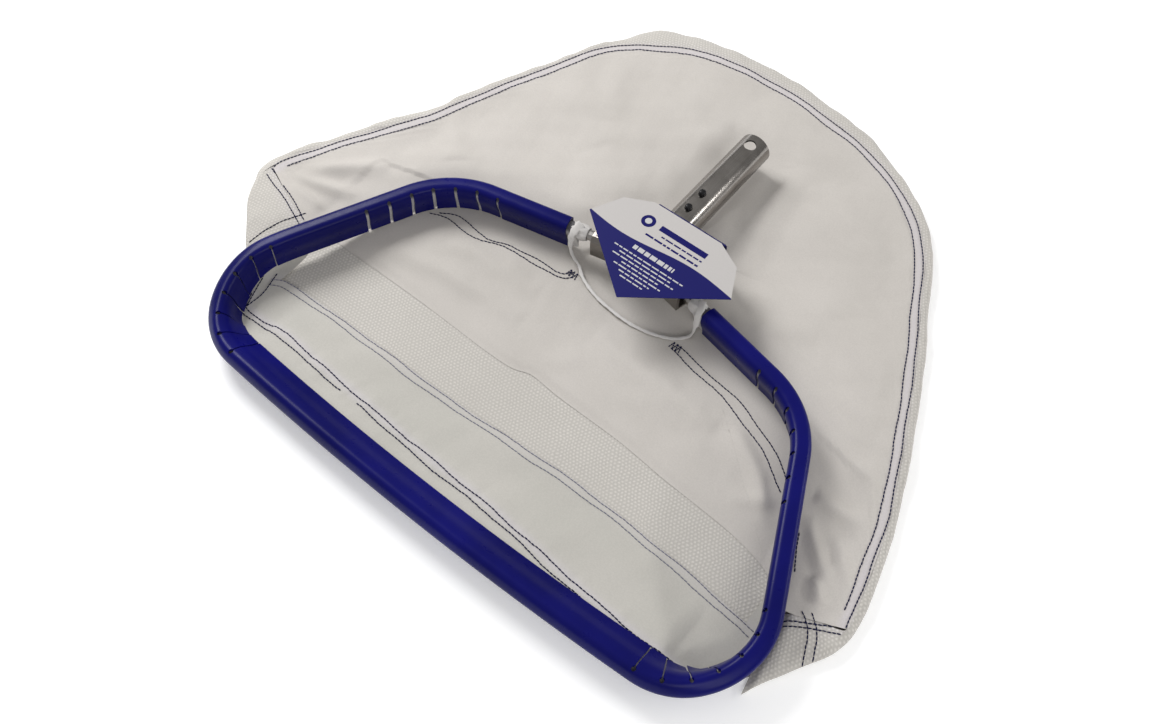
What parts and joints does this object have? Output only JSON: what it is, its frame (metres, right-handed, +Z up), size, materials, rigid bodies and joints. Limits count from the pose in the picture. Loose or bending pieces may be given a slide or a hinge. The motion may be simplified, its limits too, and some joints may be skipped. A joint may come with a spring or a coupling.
{
  "type": "leaf skimmer net",
  "caption": "Trapezoid rod frame with a slit plastic scoop edge, a flat-lying mesh bag and a tube handle with spring buttons for a telescopic pole.",
  "frame": {"origin": "on the floor under the middle of the whole rake's box", "axes": "+X along the front bar, +Y from the front bar to the open end of the handle tube, +Z up from the floor through the mouth"},
  "size_m": [0.6244, 0.5486, 0.0519],
  "materials": {
    "rod": "satin drawn rod",
    "bar": "satin extruded bar",
    "tube": "satin drawn tube, fine lines along it",
    "steel": "plated fastener",
    "spring_steel": "blued spring strip",
    "button": "black moulded button",
    "edge": "deep blue extruded edge, soft gloss",
    "hem": "white woven hem tape",
    "coarse_mesh": "coarse honeycomb knit mesh, off-white",
    "fine_mesh": "fine knit mesh, off-white, navy thread",
    "card": "printed folding card, white and navy"
  },
  "bodies": {
    "rake": {"frame_rod": "rod", "crossbar": "bar", "rod_rivet_left": "bar", "rod_rivet_right": "bar", "handle_tube": "tube", "handle_bolt": "steel", "handle_washer": "steel", "handle_nut": "steel", "spring_clip_front": "spring_steel", "spring_clip_rear": "spring_steel", "edge_strip": "edge", "hem_sleeve": "hem", "net_drag_panel": "coarse_mesh", "net_gusset": "coarse_mesh", "net_upper_panel": "fine_mesh", "net_front_strip": "fine_mesh", "net_bound_edge": "hem", "hang_card": "card"},
    "button_front_top": {"button_front_top": "button"},
    "button_front_bottom": {"button_front_bottom": "button"},
    "button_rear_top": {"button_rear_top": "button"},
    "button_rear_bottom": {"button_rear_bottom": "button"}
  },
  "joints": [
    {"name": "button_front_top_press", "type": "slide", "parent": "rake", "child": "button_front_top", "axis": [0, 0, -1], "range_m": [0, 0.0042], "stiffness_N_per_m": 1500, "springref_m": -0.002, "deforming": ["spring_clip_front"]},
    {"name": "button_front_bottom_press", "type": "slide", "parent": "rake", "child": "button_front_bottom", "axis": [0, 0, 1], "range_m": [0, 0.0042], "stiffness_N_per_m": 1500, "springref_m": -0.002, "deforming": ["spring_clip_front"]},
    {"name": "button_rear_top_press", "type": "slide", "parent": "rake", "child": "button_rear_top", "axis": [0, 0, -1], "range_m": [0, 0.0042], "stiffness_N_per_m": 1500, "springref_m": -0.002, "deforming": ["spring_clip_rear"]},
    {"name": "button_rear_bottom_press", "type": "slide", "parent": "rake", "child": "button_rear_bottom", "axis": [0, 0, 1], "range_m": [0, 0.0042], "stiffness_N_per_m": 1500, "springref_m": -0.002, "deforming": ["spring_clip_rear"]}
  ]
}
